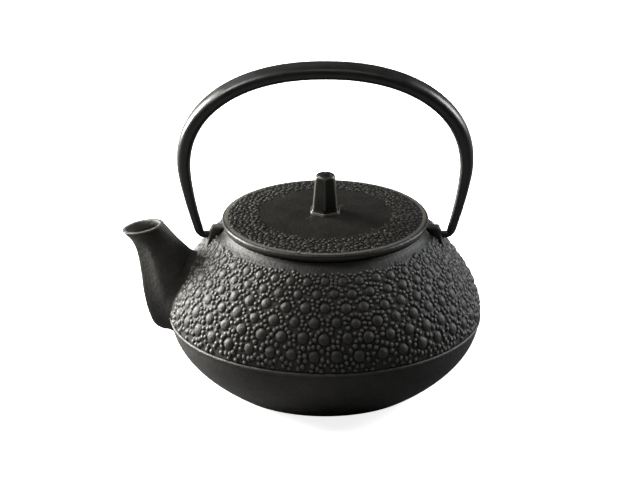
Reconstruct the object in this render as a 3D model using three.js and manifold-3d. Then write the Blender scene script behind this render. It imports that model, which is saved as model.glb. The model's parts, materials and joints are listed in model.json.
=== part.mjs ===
// Cast iron teapot with a swinging bail handle, a lift-off lid and a hanging stainless infuser.
// Millimetres, +Z up. The origin is the centre of the foot ring on the table, and the spout points along -X.

import * as THREE from "three";
import { mergeVertices } from "three/addons/utils/BufferGeometryUtils.js";
import Module from "manifold-3d";

const wasm = await Module();
wasm.setup();

// ---------------------------------------------------------------- driving dimensions

const GAP = 0.3; // between pieces that rest on each other and lift apart
const PRESS_GAP = 0.1; // between pieces that are screwed or pressed together
const SIDES = 40; // facets round the pot and the lid
const INFUSER_SIDES = 36;

const POT = {
  radius: 75, // at the widest level
  waistZ: 38.2, // height of the widest level
  seamZ: 33.7, // mould line between the smooth bowl and the studded shoulder
  seamStep: 0.3, // how far the shoulder stands out from the bowl at the mould line
  footRadius: 45.4,
  bowlPower: 2.19, // fullness of the bowl below the widest level
  shoulderPower: 1.67, // fullness of the shoulder above it
  neckBaseRadius: 53.6,
  neckBaseZ: 76.8,
  neckRadius: 48.5,
  neckZ: 80.6,
  neckFlare: 1.2, // how much wider the neck is just below its rim
  neckFlareDepth: 2,
  rimChamfer: 0.6,
};

const CAVITY = {
  inset: 4, // from the outer skin, measured level
  floorZ: 5,
  floorChamfer: { width: 7, height: 2.6 },
  shoulderZ: 69, // where the cavity's side turns in towards the mouth
  shoulderChamfer: { width: 5, height: 3 },
};

const MOUTH = {
  seatRadius: 44.2, // rebate that holds the infuser's flange
  seatZ: 78.2,
  boreRadius: 40.8,
  boreZ: 75.1,
};

const SPOUT = {
  // side outline in the XZ plane, from the mouth down to the root
  upper: [[-77.9, 82.4], [-73.2, 76.6], [-69.2, 72.1], [-64.2, 67.5], [-57.5, 62.8], [-51.4, 56.6]],
  lower: [
    [-97.8, 78.1], [-92.8, 72.3], [-90.3, 65.6], [-88.7, 55.9],
    [-87.5, 45.8], [-85, 35.2], [-80.1, 28.5], [-66.7, 25.3],
  ],
  mouthHalfWidth: 8.4,
  throatHalfWidth: 7.6,
  rootHalfWidth: 9.6,
  keel: 0.45, // how far the root's section narrows downwards
  lipWall: 1.8,
  rootWall: 3.6,
  lipReach: 3, // how far the bore's cutter sticks out of the mouth
  stations: 9,
  sides: 20,
};

const LUG = {
  topZ: POT.neckZ,
  rootZ: 67.2,
  innerX: 45.5,
  topX: 54.6,
  rootX: 59,
  topHalfWidth: 2.9,
  rootHalfWidth: 8,
  socketRadius: 2,
  socketBottomX: 50.6,
};

const HANDLE = {
  // heights of the centre line are above the pivot
  pivotZ: 76,
  halfSpan: 67.7, // at the widest level
  springZ: 36.6, // where the arch starts
  archHeight: 84.1,
  archPower: 2.2, // 2 is an ellipse; more is squarer
  legFoot: [60.8, 3.4],
  legFootPull: [4, 13], // from the foot to its control point
  legTopPull: 6.5, // from the spring down to its control point
  bendX: 57.8,
  bendPull: 2.1, // from the bend to its control point
  pinTipX: 51.2,
  pinDiameter: 3.4,
  rodDiameter: 4.3, // just above the bend
  topThickness: 7.7,
  topWidth: 13,
  rodRise: 3, // heights at which each size is reached
  thicknessRise: 60,
  widthRise: 74,
  sectionPower: 2.5, // of the grip's section, as archPower
  sectionRise: 20,
  curveSteps: 8,
  sides: 12,
};

const LID = {
  radius: 49.6,
  rimThickness: 3.95,
  rimChamfer: 0.9,
  domeRise: 3,
  domeRadii: [36, 20], // where the dome's facets meet
  thickness: 4.1,
  skirtRadius: 36.2,
  skirtWall: 2.8,
  skirtDepth: 5.8,
  skirtChamfer: { width: 0.6, height: 0.8 },
  bossRadius: 10.8, // flat under the washer
  screwHoleRadius: 2.3,
};

const KNOB = {
  plinthRadius: 8.1,
  plinthTaper: 0.5,
  plinthHeight: 1,
  baseRadius: 7.3,
  topRadius: 5.3,
  shaftHeight: 15.2,
  height: 19.8,
  crownRadius: 5.7, // of the dome that rounds the hexagon's top
  turn: THREE.MathUtils.degToRad(-32), // direction of one corner
  holeRadius: 2.15,
  holeDepth: 10.5,
};

const SCREW = {
  shankRadius: 2,
  shankChamfer: 0.8,
  length: 13.5,
  headRadius: 4,
  headHeight: 2.6,
  headFaceRadius: 2.4,
  headShoulder: [3.7, 0.9],
  slotWidth: 1.2,
  slotDepth: 1.3,
};
const WASHER = { radius: 4.8, holeRadius: 2.3, thickness: 0.8 };

const INFUSER = {
  sheet: 0.6, // thickness of the pressed pieces
  flangeRadius: 43.4,
  beadHeight: 1.2,
  collarRadius: 38.9,
  collarDepth: 8,
  wallRadius: 38.1,
  wallThickness: 0.8,
  wallTopDrop: 1.2, // from the flange's underside to the wall's top edge
  depth: 42,
  cupHeight: 6,
  cupLip: 5.6,
  seamHalfAngle: 0.055, // radians
  seamThickness: 0.5,
  slotColumns: 12,
  slotRows: 2,
  slotRise: 1.2, // from the cup's edge to the lowest slots
  slotWidth: 13,
  slotHeight: 11.6,
  slotPitch: 13.4,
  drainRings: [6, 12],
  drainSpacing: 11,
  drainRadius: 2.6,
};

const SPOUT_UPPER = new THREE.SplineCurve(SPOUT.upper.map((p) => new THREE.Vector2(...p)));
const SPOUT_LOWER = new THREE.SplineCurve(SPOUT.lower.map((p) => new THREE.Vector2(...p)));

const LID_UNDERSIDE_Z = POT.neckZ + GAP;
const LID_RIM_Z = LID_UNDERSIDE_Z + LID.rimThickness;
const LID_CENTRE_Z = LID_RIM_Z + LID.domeRise;
const LID_CEILING_Z = LID_CENTRE_Z - LID.thickness;

// ---------------------------------------------------------------- solids from geometry

// A closed three.js geometry as a manifold-3d solid.
function solid(geometry) {
  const bare = geometry.index ? geometry.toNonIndexed() : geometry.clone();
  bare.deleteAttribute("normal");
  bare.deleteAttribute("uv");
  const merged = mergeVertices(bare, 1e-4);
  return new wasm.Manifold(
    new wasm.Mesh({
      numProp: 3,
      vertProperties: merged.attributes.position.array,
      triVerts: new Uint32Array(merged.index.array),
    }),
  );
}

function geometryOf(made) {
  const mesh = made.getMesh();
  const geometry = new THREE.BufferGeometry();
  const corners = new Float32Array(mesh.numVert * 3);
  for (let i = 0; i < mesh.numVert; i++) {
    for (let k = 0; k < 3; k++) {
      corners[3 * i + k] = mesh.vertProperties[mesh.numProp * i + k];
    }
  }
  geometry.setAttribute("position", new THREE.BufferAttribute(corners, 3));
  geometry.setIndex(new THREE.BufferAttribute(new Uint32Array(mesh.triVerts), 1));
  geometry.computeVertexNormals();
  return geometry;
}

// Revolves [radius, height] points, listed from the bottom up the outside, about Z.
// A profile that doesn't start and end on the axis is closed on itself.
function revolve(outline, sides) {
  const points = outline.map(([r, z]) => new THREE.Vector2(r, z));
  if (points[0].x > 0) {
    points.push(points[0].clone());
  }
  const geometry = new THREE.LatheGeometry(points, sides);
  return solid(geometry.rotateX(Math.PI / 2));
}

// A closed skin through rings of equal length, with a flat cap at both ends.
function loft(rings) {
  const corners = rings.flat();
  const n = rings[0].length;
  const faces = [];
  for (let i = 0; i + 1 < rings.length; i++) {
    for (let j = 0; j < n; j++) {
      const a = i * n + j;
      const b = i * n + ((j + 1) % n);
      faces.push(a, b, a + n, b, b + n, a + n);
    }
  }
  for (const ring of [0, rings.length - 1]) {
    const centre = corners.length;
    const middle = new THREE.Vector3();
    rings[ring].forEach((p) => middle.addScaledVector(p, 1 / n));
    corners.push(middle);
    for (let j = 0; j < n; j++) {
      const a = ring * n + j;
      const b = ring * n + ((j + 1) % n);
      faces.push(...(ring === 0 ? [b, a, centre] : [a, b, centre]));
    }
  }
  const geometry = new THREE.BufferGeometry().setFromPoints(corners);
  geometry.setIndex(faces);
  const made = solid(geometry);
  const insideOut = made.volume() < 0;
  return insideOut ? solid(geometry.setIndex(faces.reverse())) : made;
}

function cylinder(radius, height, sides, x, y, z) {
  const geometry = new THREE.CylinderGeometry(radius, radius, height, sides);
  return solid(geometry.rotateX(Math.PI / 2).translate(x, y, z + height / 2));
}

function smooth(t) {
  const s = THREE.MathUtils.clamp(t, 0, 1);
  return s * s * (3 - 2 * s);
}

function node(name, made, material) {
  const mesh = new THREE.Mesh(geometryOf(made), material);
  mesh.name = name;
  return mesh;
}

// ---------------------------------------------------------------- pot

// Outer radius at a height. Below the mould line the bowl is set back by the step.
function potRadius(z) {
  if (z < POT.seamZ) {
    const widest = POT.radius - POT.seamStep;
    const drop = (POT.waistZ - z) / POT.waistZ;
    return widest - (widest - POT.footRadius) * drop ** POT.bowlPower;
  }
  if (z < POT.waistZ) return POT.radius;
  const rise = (z - POT.waistZ) / (POT.neckBaseZ - POT.waistZ);
  return POT.radius - (POT.radius - POT.neckBaseRadius) * rise ** POT.shoulderPower;
}

function heights(from, to, steps) {
  return Array.from({ length: steps + 1 }, (_, i) => from + ((to - from) * i) / steps);
}

function potOutside() {
  const bowl = heights(0, POT.seamZ - POT.seamStep, 5).map((z) => [potRadius(z), z]);
  const shoulder = heights(POT.waistZ, POT.neckBaseZ, 6).map((z) => [potRadius(z), z]);
  const neck = [
    [POT.neckRadius + POT.neckFlare, POT.neckZ - POT.neckFlareDepth],
    [POT.neckRadius, POT.neckZ - POT.rimChamfer],
    [POT.neckRadius - POT.rimChamfer, POT.neckZ],
  ];
  return revolve([[0, 0], ...bowl, [POT.radius, POT.seamZ], ...shoulder, ...neck, [0, POT.neckZ]], SIDES);
}

// The hollow and the rebated mouth above it, up to a level clear of the rim.
function potInside() {
  const { inset, floorZ, floorChamfer, shoulderZ, shoulderChamfer } = CAVITY;
  const side = heights(floorZ + floorChamfer.height, shoulderZ, 6).map((z) => [potRadius(z) - inset, z]);
  const clearZ = POT.neckZ + 5;
  return revolve(
    [
      [0, floorZ],
      [side[0][0] - floorChamfer.width, floorZ],
      ...side,
      [side.at(-1)[0] - shoulderChamfer.width, shoulderZ + shoulderChamfer.height],
      [MOUTH.boreRadius, MOUTH.boreZ],
      [MOUTH.boreRadius, MOUTH.seatZ],
      [MOUTH.seatRadius, MOUTH.seatZ],
      [MOUTH.seatRadius, clearZ],
      [0, clearZ],
    ],
    SIDES,
  );
}

// One ring of the spout's skin, moved inwards by a wall that grows from the lip to the root.
function spoutRing(t, inset) {
  const top = SPOUT_UPPER.getPoint(t);
  const bottom = SPOUT_LOWER.getPoint(t);
  const along = top.clone().sub(bottom).multiplyScalar(0.5);
  const centre = top.clone().add(bottom).multiplyScalar(0.5);
  const wall = inset ? THREE.MathUtils.lerp(SPOUT.lipWall, SPOUT.rootWall, smooth(t * 2)) : 0;
  const waist = THREE.MathUtils.lerp(SPOUT.mouthHalfWidth, SPOUT.throatHalfWidth, smooth(t * 8));
  const half = THREE.MathUtils.lerp(waist, SPOUT.rootHalfWidth, smooth(t * 1.6)) - wall;
  const reach = along.length() - wall;
  const keel = SPOUT.keel * smooth(t * 1.6);
  along.normalize();
  return Array.from({ length: SPOUT.sides }, (_, j) => {
    const a = (j / SPOUT.sides) * 2 * Math.PI;
    const offset = reach * Math.cos(a);
    const y = half * Math.sin(a) * (1 + keel * Math.cos(a));
    return new THREE.Vector3(centre.x + along.x * offset, y, centre.y + along.y * offset);
  });
}

function spoutOutside() {
  return loft(heights(0, 1, SPOUT.stations).map((t) => spoutRing(t, false)));
}

// The bore starts outside the mouth, so that it cuts the lip open.
function spoutBore() {
  const rings = heights(0, 1, SPOUT.stations).map((t) => spoutRing(t, true));
  const across = SPOUT_UPPER.getPoint(0).sub(SPOUT_LOWER.getPoint(0));
  const outwards = new THREE.Vector3(-across.y, 0, across.x).setLength(SPOUT.lipReach);
  const outside = rings[0].map((p) => p.clone().add(outwards));
  return loft([outside, ...rings]);
}

// A handle lug: wide at its root and narrow at its top, fused with the neck.
function lug(side) {
  const geometry = new THREE.BoxGeometry(1, 1, 1);
  const corners = geometry.attributes.position;
  for (let i = 0; i < corners.count; i++) {
    const top = corners.getZ(i) > 0;
    const outerX = top ? LUG.topX : LUG.rootX;
    const halfWidth = top ? LUG.topHalfWidth : LUG.rootHalfWidth;
    corners.setX(i, side * (corners.getX(i) * side > 0 ? outerX : LUG.innerX));
    corners.setY(i, Math.sign(corners.getY(i)) * halfWidth);
    corners.setZ(i, top ? LUG.topZ : LUG.rootZ);
  }
  return solid(geometry);
}

function lugSocket(side) {
  const length = LUG.rootX + 2 - LUG.socketBottomX;
  const geometry = new THREE.CylinderGeometry(LUG.socketRadius, LUG.socketRadius, length, 20);
  geometry.rotateZ(Math.PI / 2).translate(side * (LUG.socketBottomX + length / 2), 0, HANDLE.pivotZ);
  return solid(geometry);
}

function potBody() {
  return potOutside()
    .add(spoutOutside())
    .add(lug(-1))
    .add(lug(1))
    .subtract(potInside())
    .subtract(spoutBore())
    .subtract(lugSocket(-1))
    .subtract(lugSocket(1));
}

// ---------------------------------------------------------------- handle

// Half of the handle's centre line in the XZ plane, from the pin's tip to the top, heights from the pivot.
function handleHalfLine() {
  const { bendX, halfSpan, springZ, archHeight, archPower, legFoot, legFootPull } = HANDLE;
  const [footX, footZ] = legFoot;
  const line = new THREE.Path();
  line.moveTo(HANDLE.pinTipX, 0);
  line.lineTo(bendX, 0);
  line.quadraticCurveTo(bendX + HANDLE.bendPull, 0, footX, footZ);
  line.bezierCurveTo(
    footX + legFootPull[0],
    footZ + legFootPull[1],
    halfSpan,
    springZ - HANDLE.legTopPull,
    halfSpan,
    springZ,
  );
  const leg = line.getPoints(HANDLE.curveSteps);
  const arch = heights(0, Math.PI / 2, 2 * HANDLE.curveSteps).map((a) => {
    const x = halfSpan * Math.abs(Math.cos(a)) ** (2 / archPower);
    return new THREE.Vector2(x, springZ + (archHeight - springZ) * Math.sin(a) ** (2 / archPower));
  });
  return [...leg, ...arch];
}

// One ring round the bar: a superellipse that grows from the round pin to the broad grip.
function handleRing(point, tangent) {
  const { pinDiameter, rodDiameter, topThickness, topWidth, sectionPower } = HANDLE;
  const rod = THREE.MathUtils.lerp(pinDiameter, rodDiameter, smooth(point.y / HANDLE.rodRise));
  const thickness = rod + (topThickness - rodDiameter) * smooth(point.y / HANDLE.thicknessRise);
  const width = rod + (topWidth - rodDiameter) * smooth(point.y / HANDLE.widthRise);
  const power = THREE.MathUtils.lerp(2, sectionPower, smooth(point.y / HANDLE.sectionRise));
  return Array.from({ length: HANDLE.sides }, (_, j) => {
    const a = (j / HANDLE.sides) * 2 * Math.PI;
    const u = Math.sign(Math.cos(a)) * Math.abs(Math.cos(a)) ** (2 / power) * (thickness / 2);
    const v = Math.sign(Math.sin(a)) * Math.abs(Math.sin(a)) ** (2 / power) * (width / 2);
    return new THREE.Vector3(point.x + tangent.y * u, v, HANDLE.pivotZ + point.y - tangent.x * u);
  });
}

function handleBail() {
  const shortest = 0.2; // closer points are the same point of two curves
  const half = handleHalfLine();
  const distinct = half.filter((p, i) => i === 0 || p.distanceTo(half[i - 1]) > shortest);
  distinct.at(-1).x = 0;
  const mirrored = distinct.slice(0, -1).reverse().map((p) => new THREE.Vector2(-p.x, p.y));
  const line = [...distinct, ...mirrored];
  const rings = line.map((p, i) => {
    const before = line[Math.max(i - 1, 0)];
    const after = line[Math.min(i + 1, line.length - 1)];
    return handleRing(p, after.clone().sub(before).normalize());
  });
  return loft(rings);
}

// ---------------------------------------------------------------- lid and knob

function lidTopZ(r) {
  return LID_CENTRE_Z - LID.domeRise * (r / LID.radius) ** 2;
}

function lidDisc() {
  const { radius, rimChamfer, skirtRadius, skirtChamfer, screwHoleRadius } = LID;
  const skirtInner = skirtRadius - LID.skirtWall;
  const skirtZ = LID_UNDERSIDE_Z - LID.skirtDepth;
  return revolve(
    [
      [screwHoleRadius, LID_CEILING_Z],
      [LID.bossRadius, LID_CEILING_Z],
      [skirtInner, LID_UNDERSIDE_Z + rimChamfer],
      [skirtInner, skirtZ],
      [skirtRadius - skirtChamfer.width, skirtZ],
      [skirtRadius, skirtZ + skirtChamfer.height],
      [skirtRadius, LID_UNDERSIDE_Z],
      [radius - rimChamfer, LID_UNDERSIDE_Z],
      [radius, LID_UNDERSIDE_Z + rimChamfer],
      [radius, LID_RIM_Z - rimChamfer],
      [radius - rimChamfer, LID_RIM_Z],
      ...LID.domeRadii.map((r) => [r, lidTopZ(r)]),
      [screwHoleRadius, LID_CENTRE_Z],
    ],
    SIDES,
  );
}

function hexPrism(bottomRadius, topRadius, height, z) {
  const geometry = new THREE.CylinderGeometry(topRadius, bottomRadius, height, 6);
  geometry.rotateX(Math.PI / 2).rotateZ(KNOB.turn - Math.PI / 2);
  return solid(geometry.translate(0, 0, z + height / 2));
}

// A tapered hexagon whose top is rounded by a tall dome of revolution.
function lidKnob() {
  const seatZ = LID_CENTRE_Z + PRESS_GAP;
  const plinthTop = KNOB.plinthRadius - KNOB.plinthTaper;
  const plinth = hexPrism(KNOB.plinthRadius, plinthTop, KNOB.plinthHeight, seatZ);
  const slope = (KNOB.baseRadius - KNOB.topRadius) / KNOB.shaftHeight;
  const shaft = hexPrism(KNOB.baseRadius, KNOB.baseRadius - slope * KNOB.height, KNOB.height, seatZ);
  const crownZ = seatZ + KNOB.shaftHeight;
  const crownHeight = KNOB.height - KNOB.shaftHeight;
  const crown = heights(0, Math.PI / 2, 6).map((a) => [
    KNOB.crownRadius * Math.cos(a),
    crownZ + crownHeight * Math.sin(a),
  ]);
  crown.at(-1)[0] = 0;
  const clearZ = seatZ - 1;
  const envelope = revolve([[0, clearZ], [1.5 * KNOB.plinthRadius, clearZ], ...crown], 24);
  const hole = cylinder(KNOB.holeRadius, KNOB.holeDepth + seatZ - clearZ, 16, 0, 0, clearZ);
  return shaft.intersect(envelope).add(plinth).subtract(hole);
}

function knobWasher() {
  const z = LID_CEILING_Z - PRESS_GAP - WASHER.thickness;
  return revolve(
    [
      [WASHER.holeRadius, z],
      [WASHER.radius, z],
      [WASHER.radius, z + WASHER.thickness],
      [WASHER.holeRadius, z + WASHER.thickness],
    ],
    24,
  );
}

function knobScrew() {
  const headTop = LID_CEILING_Z - WASHER.thickness - 2 * PRESS_GAP;
  const headBottom = headTop - SCREW.headHeight;
  const tip = headTop + SCREW.length;
  const made = revolve(
    [
      [0, headBottom],
      [SCREW.headFaceRadius, headBottom],
      [SCREW.headShoulder[0], headBottom + SCREW.headShoulder[1]],
      [SCREW.headRadius, headTop],
      [SCREW.shankRadius, headTop],
      [SCREW.shankRadius, tip - SCREW.shankChamfer],
      [SCREW.shankRadius - SCREW.shankChamfer, tip],
      [0, tip],
    ],
    20,
  );
  const slot = new THREE.BoxGeometry(SCREW.headRadius * 3, SCREW.slotWidth, SCREW.slotDepth * 2);
  return made.subtract(solid(slot.translate(0, 0, headBottom)));
}

// ---------------------------------------------------------------- infuser

const FLANGE_Z = MOUTH.seatZ + GAP;
const INFUSER_BOTTOM_Z = FLANGE_Z - INFUSER.depth;
const CUP_Z = INFUSER_BOTTOM_Z + INFUSER.sheet;

// Flange with a bead round its edge and a collar that hangs through the pot's mouth.
function infuserRim() {
  const { flangeRadius: outer, collarRadius: collar, sheet, beadHeight } = INFUSER;
  const collarZ = FLANGE_Z - INFUSER.collarDepth;
  return revolve(
    [
      [collar - sheet, collarZ],
      [collar, collarZ],
      [collar, FLANGE_Z],
      [outer, FLANGE_Z],
      [outer, FLANGE_Z + beadHeight],
      [outer - beadHeight, FLANGE_Z + beadHeight],
      [outer - beadHeight - sheet / 2, FLANGE_Z + sheet],
      [collar, FLANGE_Z + sheet],
      [collar - sheet, FLANGE_Z],
    ],
    INFUSER_SIDES,
  );
}

function infuserMeshWall() {
  const outer = INFUSER.wallRadius;
  const inner = outer - INFUSER.wallThickness;
  const bottom = CUP_Z + INFUSER.wallThickness + 2 * PRESS_GAP;
  const top = FLANGE_Z - INFUSER.wallTopDrop;
  let made = revolve([[inner, bottom], [outer, bottom], [outer, top], [inner, top]], INFUSER_SIDES);
  const firstZ = CUP_Z + INFUSER.cupHeight + INFUSER.slotRise;
  const seamColumn = INFUSER.slotColumns / 4;
  for (let column = 0; column < INFUSER.slotColumns; column++) {
    for (let row = 0; row < INFUSER.slotRows && column !== seamColumn; row++) {
      const slot = new THREE.BoxGeometry(6, INFUSER.slotWidth, INFUSER.slotHeight);
      slot.translate(outer, 0, firstZ + INFUSER.slotPitch * row + INFUSER.slotHeight / 2);
      slot.rotateZ((column / INFUSER.slotColumns) * 2 * Math.PI);
      made = made.subtract(solid(slot));
    }
  }
  return made;
}

// Vertical strip that covers the lap where the wall's two ends meet, on the +Y side.
function infuserSeamStrip() {
  const inner = INFUSER.wallRadius + PRESS_GAP;
  const outer = inner + INFUSER.seamThickness;
  const start = Math.PI / 2 - INFUSER.seamHalfAngle;
  const end = Math.PI / 2 + INFUSER.seamHalfAngle;
  const outline = new THREE.Shape();
  outline.absarc(0, 0, outer, start, end, false);
  outline.absarc(0, 0, inner, end, start, true);
  const bottom = CUP_Z + INFUSER.cupHeight + GAP;
  const height = FLANGE_Z - INFUSER.collarDepth - GAP - bottom;
  const extrusion = { depth: height, bevelEnabled: false, curveSegments: 4 };
  return solid(new THREE.ExtrudeGeometry(outline, extrusion).translate(0, 0, bottom));
}

// Ring-shaped cup that grips the wall's lower edge and carries the base screen on its lip.
function infuserBaseCup() {
  const inner = INFUSER.wallRadius + PRESS_GAP;
  const outer = inner + INFUSER.sheet;
  return revolve(
    [
      [outer - INFUSER.cupLip, INFUSER_BOTTOM_Z],
      [outer - INFUSER.sheet, INFUSER_BOTTOM_Z],
      [outer, INFUSER_BOTTOM_Z + INFUSER.sheet],
      [outer, CUP_Z + INFUSER.cupHeight],
      [inner, CUP_Z + INFUSER.cupHeight],
      [inner, CUP_Z],
      [outer - INFUSER.cupLip, CUP_Z],
    ],
    INFUSER_SIDES,
  );
}

function infuserBaseScreen() {
  const z = CUP_Z + PRESS_GAP;
  const cutHeight = 4 * INFUSER.wallThickness;
  let made = cylinder(INFUSER.wallRadius, INFUSER.wallThickness, INFUSER_SIDES, 0, 0, z);
  const rings = INFUSER.drainRings.map((count, i) => [count, INFUSER.drainSpacing * (i + 1)]);
  for (const [count, ringRadius] of [[1, 0], ...rings]) {
    for (let i = 0; i < count; i++) {
      const a = (i / count) * 2 * Math.PI;
      const x = ringRadius * Math.cos(a);
      const y = ringRadius * Math.sin(a);
      made = made.subtract(cylinder(INFUSER.drainRadius, cutHeight, 6, x, y, z - cutHeight / 2));
    }
  }
  return made;
}

// ---------------------------------------------------------------- assembly

const castIron = new THREE.MeshStandardMaterial({ color: 0x23231f, roughness: 0.62, metalness: 0.35 });
const forgedIron = new THREE.MeshStandardMaterial({ color: 0x1d1d1b, roughness: 0.42, metalness: 0.5 });
const stainless = new THREE.MeshStandardMaterial({ color: 0xb9bbbd, roughness: 0.32, metalness: 1 });

const teapot = new THREE.Group();
teapot.add(node("pot_body", potBody(), castIron));

const handle = new THREE.Group();
handle.add(node("handle_bail", handleBail(), forgedIron));

const lid = new THREE.Group();
lid.add(node("lid_disc", lidDisc(), castIron));
lid.add(node("lid_knob", lidKnob(), castIron));
lid.add(node("knob_washer", knobWasher(), stainless));
lid.add(node("knob_screw", knobScrew(), stainless));

const infuser = new THREE.Group();
infuser.add(node("infuser_rim", infuserRim(), stainless));
infuser.add(node("infuser_mesh_wall", infuserMeshWall(), stainless));
infuser.add(node("infuser_seam_strip", infuserSeamStrip(), stainless));
infuser.add(node("infuser_base_cup", infuserBaseCup(), stainless));
infuser.add(node("infuser_base_screen", infuserBaseScreen(), stainless));

teapot.add(handle, lid, infuser);

export default teapot;
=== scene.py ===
"""Cast iron teapot with an infuser basket: finished surfaces, materials and studio for the CAD frame.

Shapes are worked out in millimetres in the CAD frame (+Z up, spout along -X) and turned into metres as
each mesh is made. The CAD sizes repeated here are the ones that the finished surfaces have to share.
"""

import json
import math

import bmesh
import bpy
import numpy as np
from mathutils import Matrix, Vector
from mathutils.bvhtree import BVHTree


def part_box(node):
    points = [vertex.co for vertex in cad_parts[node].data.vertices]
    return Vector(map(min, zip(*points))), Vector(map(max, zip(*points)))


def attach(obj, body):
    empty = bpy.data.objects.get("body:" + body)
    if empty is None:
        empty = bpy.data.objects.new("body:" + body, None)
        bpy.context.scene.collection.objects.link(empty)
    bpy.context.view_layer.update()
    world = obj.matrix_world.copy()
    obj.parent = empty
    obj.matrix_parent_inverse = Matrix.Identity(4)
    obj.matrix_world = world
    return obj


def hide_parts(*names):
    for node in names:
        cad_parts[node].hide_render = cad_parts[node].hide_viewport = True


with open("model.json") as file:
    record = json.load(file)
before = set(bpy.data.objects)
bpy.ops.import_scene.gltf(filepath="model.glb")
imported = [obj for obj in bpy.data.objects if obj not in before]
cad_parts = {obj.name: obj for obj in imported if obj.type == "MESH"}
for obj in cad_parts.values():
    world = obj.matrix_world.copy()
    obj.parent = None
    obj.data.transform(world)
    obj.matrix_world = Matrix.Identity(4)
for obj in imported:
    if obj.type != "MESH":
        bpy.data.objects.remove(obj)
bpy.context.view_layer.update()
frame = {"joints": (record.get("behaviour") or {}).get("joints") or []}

MM = 0.001
SEED = 7
TURN = 2 * math.pi


def top_mm(node):
    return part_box(node)[1].z / MM


def bottom_mm(node):
    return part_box(node)[0].z / MM


def reach_mm(node):
    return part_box(node)[1].x / MM


# ---------------------------------------------------------------- sizes, in millimetres

POT_RADIUS = 75.0
WAIST_Z = 38.2
SEAM_Z = 33.7
SEAM_STEP = 0.3
FOOT_RADIUS = 45.4
BOWL_POWER = 2.19
SHOULDER_POWER = 1.67
NECK_BASE_RADIUS = 53.6
NECK_BASE_Z = 76.8
NECK_RADIUS = 48.5
NECK_Z = 80.6
WALL = 4.0
FLOOR_Z = 5.0
SEAT_RADIUS = 44.2
SEAT_Z = 78.2
BORE_RADIUS = 40.8
BORE_Z = 75.1

POT_COLUMNS = 1280
TEXTURE_STEP = 0.33
RELIEF = 1.0  # depth of the ground between the studs below the CAD surface
TEXTURE_START = 0.9  # rise of the studded skin's lower end from the mould line
NECK_TEXTURE = (-2.1, 1.6)  # where the studded skin ends, from the base of the neck
TEXTURE_FADE = 0.8  # run over which the relief rises from nothing at either end
STUD_MARGIN = 2.4  # no row of studs starts this near to the upper end
BEAD_MARGINS = (0.9, 0.8)  # no bead stands this near to the lower and to the upper end
STUDS_PER_ROW = 42
FIRST_ROW = 8.6  # from the mould line, along the surface
ROW_SPACING = 0.715  # of the pitch between studs, as are the sizes below
STUD_RADIUS = 0.27
RING_RADII = (0.395, 0.435)  # level with the stud, and above or below it
BEADS_PER_RING = 13
BEAD_RADIUS = 0.114
BEAD_SPACING = 0.185
STUD_SHIFT = (0.06, 0.05)  # unevenness round the pot and along its surface
STUD_SIZES = (0.88, 1.04)  # of the stud's radius
STUD_HEIGHTS = (0.34, 0.44)  # of the radius of that stud
RING_SLIP = 0.15  # of the step from bead to bead
RING_STRETCH = (0.96, 1.08)  # of the ring's radius
BEAD_SIZES = (0.84, 1.12)  # of the bead's radius
BEAD_HEIGHT = 0.72  # of the radius of that bead
FILL_TRIES = 9000  # beads tried in the gaps between the rings
DOME_POWER = 0.65  # 0.5 is half an ellipsoid; more is more pointed
STUD_TO_SPOUT = 0.3  # bare skin between the spout and the nearest studs and beads

RIB_FOOT = 3.2  # the plain bowl ends this far below the mould line

# The rib along the mould line: how far in from the pot's radius, and the rise from the line.
RIB = [
    (1.0, -2.4), (0.85, -1.6), (0.6, -0.9), (0.34, -0.4),
    (0.16, 0), (0.14, 0.3), (0.26, 0.6), (0.5, 0.85),
]

# Side outlines of the spout in the XZ plane, from the mouth to the root.
SPOUT_UPPER = [(-77.9, 82.4), (-73.2, 76.6), (-69.2, 72.1), (-64.2, 67.5), (-57.5, 62.8), (-51.4, 56.6)]
SPOUT_LOWER = [
    (-97.8, 78.1), (-92.8, 72.3), (-90.3, 65.6), (-88.7, 55.9),
    (-87.5, 45.8), (-85, 35.2), (-80.5, 27.8), (-66.7, 23.8),
]
SPOUT_MOUTH = 8.4
SPOUT_THROAT = 7.6
SPOUT_ROOT = 9.6
SPOUT_KEEL = 0.45
KEEL_FACE = math.radians(143)  # direction of the faces beside the keel
KEEL_DEPTH = 0.82
KEEL_EDGE = 26  # more is sharper
LIP_WALL = 2.2
LIP_STATIONS = [0, 0.004, 0.011, 0.02]  # of the spout's length, for the rounded lip
LIP_OUTER_ROUNDING = [0.6, 0.25, 0.07, 0]  # how far the lip's edges are taken back at those stations
LIP_INNER_ROUNDING = np.array([1.0, 0.5, 0.2, 0.05])
SPOUT_WALL = 3.6
FILLET = 3.0  # reach of the swelling where pot and spout meet
SWELL = FILLET / 4
SOFTEN_REACH = 1.8  # of the relaxing that follows, to either side of the crease
SOFTEN_PASSES = 14

LUG_TOP_X = 54.6
LUG_ROOT_X = 59.0
LUG_INNER_X = 45.5
LUG_ROOT_Z = 67.2
LUG_EMERGES_Z = 71.0
LUG_TOP_HALF = 2.9
LUG_ROOT_HALF = 8.0
SOCKET_RADIUS = 2.0
SOCKET_BOTTOM_X = 50.6

PIVOT_Z = frame["joints"][0]["pos_m"][2] / MM
BAIL_SPAN = 67.7
BAIL_SPRING = 36.6
BAIL_RISE = 84.1
BAIL_ARCH_POWER = 2.2  # 2 is an ellipse; more is squarer
BAIL_FOOT = (60.8, 3.4)
BAIL_BEND_X = 57.8
BAIL_TIP_X = 51.2
BAIL_PIN = 3.4
BAIL_ROD = 4.3
BAIL_THICKNESS = 7.7
BAIL_WIDTH = 13.0

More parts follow.
